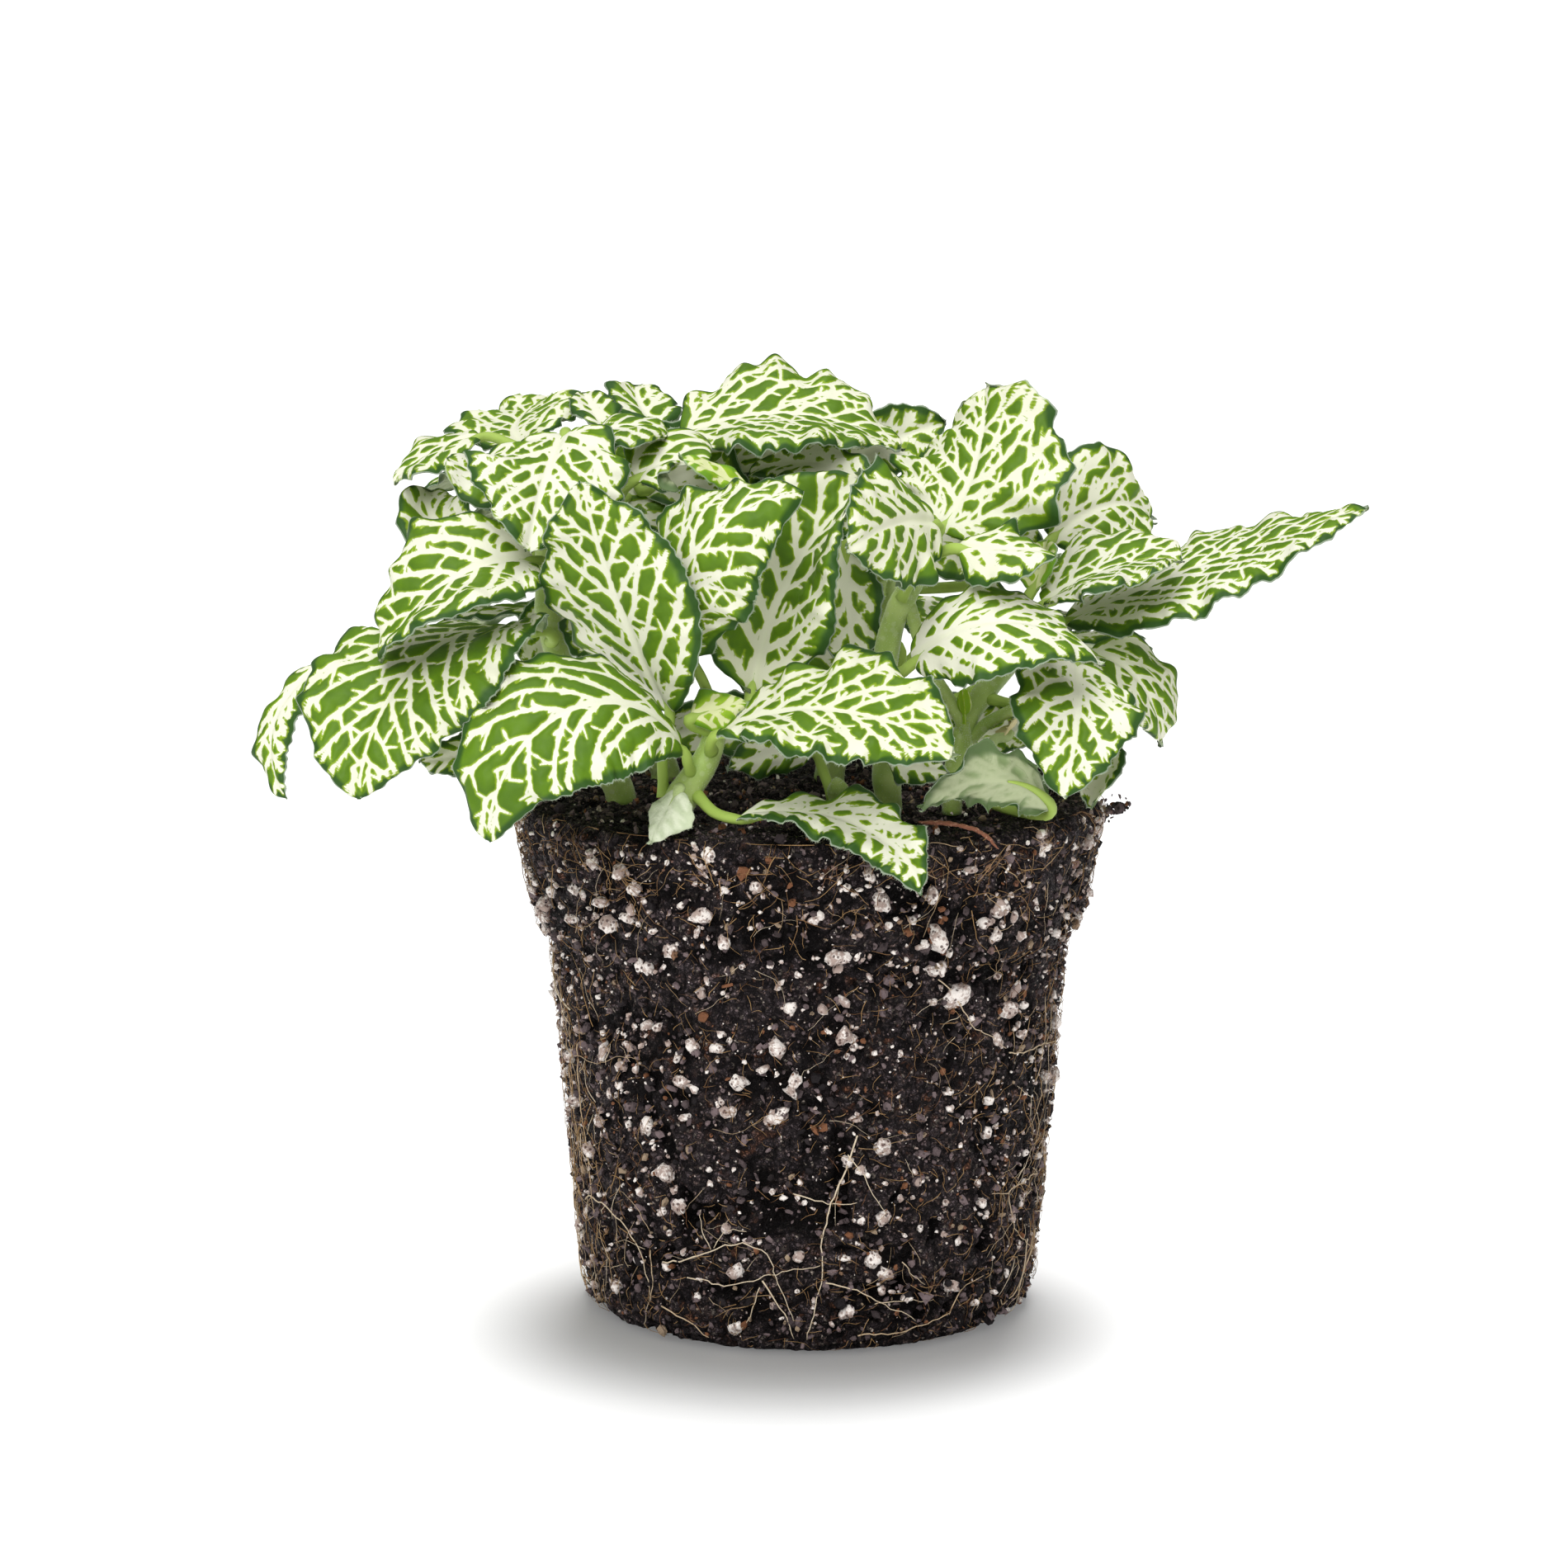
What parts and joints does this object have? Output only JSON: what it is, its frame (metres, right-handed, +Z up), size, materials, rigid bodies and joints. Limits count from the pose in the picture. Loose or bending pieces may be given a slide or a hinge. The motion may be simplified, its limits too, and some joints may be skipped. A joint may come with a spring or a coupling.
{
  "type": "nerve plant with bare root ball",
  "caption": "White-veined nerve plant out of its pot: a pot-shaped ball of soil and roots with stems and a spreading crown of arched leaves.",
  "frame": {"origin": "middle of the flat underside of the root ball, where it rests", "axes": "+Z up along the root ball's axis; -Y towards the side that the leaves face, seen from the front; +X to the right in that view, towards the longest leaf"},
  "size_m": [0.2126, 0.151, 0.1813],
  "materials": {
    "soil": "dark moist peat, rough and crumbly",
    "perlite": "chalky white porous grains",
    "root": "thin cream to tan roots and rusty fibres",
    "bark": "fibrous rust-brown bark",
    "stem": "pale green, satin, finely haired",
    "leaf": "satin green with broad creamy white branching veins, pale underside",
    "young_leaf": "yellow-green, softly shiny",
    "withered_leaf": "dull, papery, pale grey-green"
  },
  "bodies": {
    "root": {"root_ball": "soil", "bark_chip": "bark", "stem_front": "stem", "stem_left": "stem", "stem_back_left": "stem", "stem_centre_back": "stem", "stem_fore": "stem", "stem_right": "stem", "stem_short": "stem", "leaf_front_left": "leaf", "leaf_left_low": "leaf", "leaf_left_mid": "leaf", "leaf_left_tucked": "leaf", "leaf_left_drooping": "leaf", "leaf_left_under": "leaf", "leaf_centre_left": "leaf", "leaf_crown_left": "leaf", "leaf_crown_left_back": "leaf", "leaf_crown_left_far": "leaf", "leaf_crown_left_under": "leaf", "leaf_crown_mid_back": "leaf", "leaf_crown_mid_small": "leaf", "leaf_crown_mid": "leaf", "leaf_crown_top": "leaf", "leaf_crown_top_under": "leaf", "leaf_centre": "leaf", "leaf_centre_right": "leaf", "leaf_left_inner": "leaf", "leaf_front_right": "leaf", "leaf_front_tail": "leaf", "leaf_rim_front": "leaf", "leaf_rim_right": "leaf", "leaf_shaded_front": "leaf", "leaf_right_hanging": "leaf", "leaf_right_side": "leaf", "leaf_right_centre": "leaf", "leaf_right_low": "leaf", "leaf_right_fore": "leaf", "leaf_right_fore_small": "leaf", "leaf_right_upright": "leaf", "leaf_right_back": "leaf", "leaf_right_upper": "leaf", "leaf_right_long": "leaf", "leaf_right_young": "young_leaf", "leaf_back_pale": "leaf", "leaf_back_dark": "leaf", "leaf_crown_inner_right": "leaf", "leaf_young_front": "young_leaf", "leaf_young_folded": "young_leaf", "leaf_crown_left_right": "leaf", "leaf_withered": "withered_leaf", "leaf_back_left_low": "leaf", "leaf_back_centre_low": "leaf", "leaf_back_right_low": "leaf", "leaf_back_left_high": "leaf", "leaf_back_centre_high": "leaf", "leaf_back_right_high": "leaf", "leaf_back_left_crown": "leaf", "leaf_back_right_side": "leaf", "leaf_back_left_side": "leaf"}
  },
  "joints": []
}
